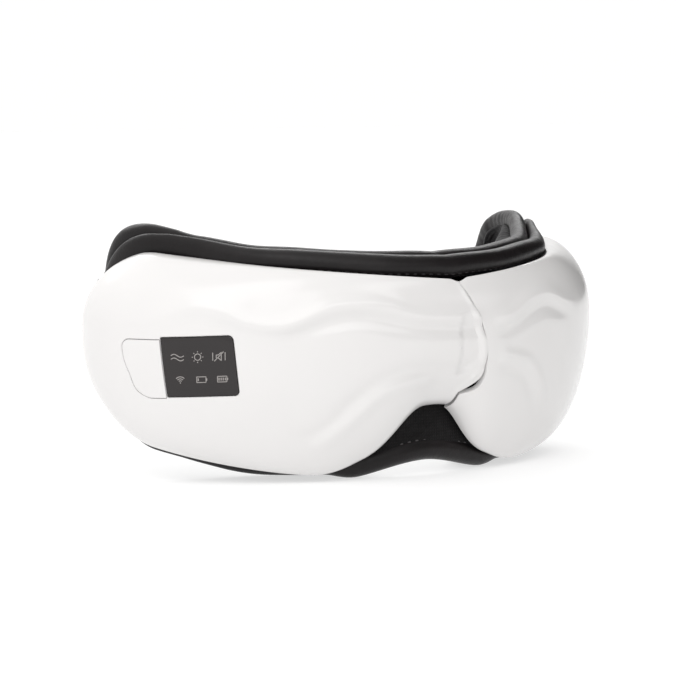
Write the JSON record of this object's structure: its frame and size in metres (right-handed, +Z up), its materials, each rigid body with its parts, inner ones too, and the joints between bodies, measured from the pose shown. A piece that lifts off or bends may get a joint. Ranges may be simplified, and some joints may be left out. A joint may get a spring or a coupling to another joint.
{
  "type": "eye massager mask",
  "caption": "Folding eye massager mask: two wave-embossed glossy housings with a touch panel, hinged over the nose, backed by a padded leather cushion.",
  "frame": {"origin": "centre of the plan at the base, on the surface that the mask stands on", "axes": "+Z up, -Y the mask's outer front, +Y towards the face, +X the wearer's left"},
  "size_m": [0.1844, 0.0912, 0.0759],
  "materials": {
    "shell_plastic": "glossy warm white moulded housing, softly embossed with wide waves",
    "inner_plastic": "dark matte moulded plastic",
    "leather": "soft black synthetic leather over foam, fine grain, stitched seams",
    "window_plastic": "smoked gloss display window",
    "circuit_board": "green circuit board",
    "steel": "plated steel",
    "cable_rubber": "black cable jacket",
    "soft_hose": "translucent grey soft hose and air bag film",
    "heating_film": "amber heating film",
    "pad_fabric": "soft dark knit over moulded nubs",
    "battery_wrap": "blue battery wrap"
  },
  "bodies": {
    "right_half": {"right_front_shell": "shell_plastic", "right_back_frame": "inner_plastic", "right_cushion": "leather", "display_window": "window_plastic", "touch_board": "circuit_board", "power_switch": "steel", "main_board": "circuit_board", "board_screw_1": "steel", "board_screw_2": "steel", "charging_socket": "steel", "right_speaker": "inner_plastic", "right_vibration_motor": "steel", "right_air_bag": "soft_hose", "right_hinge_bracket": "steel", "right_hinge_screw_1": "steel", "right_hinge_screw_2": "steel", "hinge_pin": "steel", "upper_hinge_washer": "steel", "lower_hinge_washer": "steel", "right_frame_screw_1": "steel", "right_frame_screw_2": "steel", "right_frame_screw_3": "steel", "right_wire_loom": "cable_rubber", "right_air_hose": "soft_hose", "right_strap_loop": "inner_plastic", "bridge_cable": "cable_rubber", "bridge_air_hose": "soft_hose"},
    "left_half": {"left_front_shell": "shell_plastic", "left_back_frame": "inner_plastic", "left_cushion": "leather", "battery": "battery_wrap", "air_pump": "steel", "air_valve": "inner_plastic", "left_speaker": "inner_plastic", "left_vibration_motor": "steel", "left_air_bag": "soft_hose", "left_hinge_drum": "inner_plastic", "left_hinge_screw_1": "steel", "left_hinge_screw_2": "steel", "left_frame_screw_1": "steel", "left_frame_screw_2": "steel", "left_frame_screw_3": "steel", "left_wire_loom": "cable_rubber", "left_air_hose": "soft_hose", "left_strap_loop": "inner_plastic"},
    "power_button": {"power_button": "shell_plastic"},
    "right_pad": {"right_massage_pad": "pad_fabric", "right_heating_film": "heating_film"},
    "left_pad": {"left_massage_pad": "pad_fabric", "left_heating_film": "heating_film"}
  },
  "joints": [
    {"name": "fold", "type": "hinge", "parent": "right_half", "child": "left_half", "pos_m": [0, -0.0316, 0], "axis": [0, 0, 1], "range_deg": [0, 85], "deforming": ["bridge_cable", "bridge_air_hose"]},
    {"name": "button_press", "type": "slide", "parent": "right_half", "child": "power_button", "axis": [0.8428, 0.5382, 0], "range_m": [0, 0.0005], "stiffness_N_per_m": 600},
    {"name": "right_pad_push", "type": "slide", "parent": "right_half", "child": "right_pad", "axis": [0.3907, 0.9205, 0], "range_m": [0, 0.003], "stiffness_N_per_m": 800},
    {"name": "left_pad_push", "type": "slide", "parent": "left_half", "child": "left_pad", "axis": [-0.3907, 0.9205, 0], "range_m": [0, 0.003], "stiffness_N_per_m": 800}
  ]
}
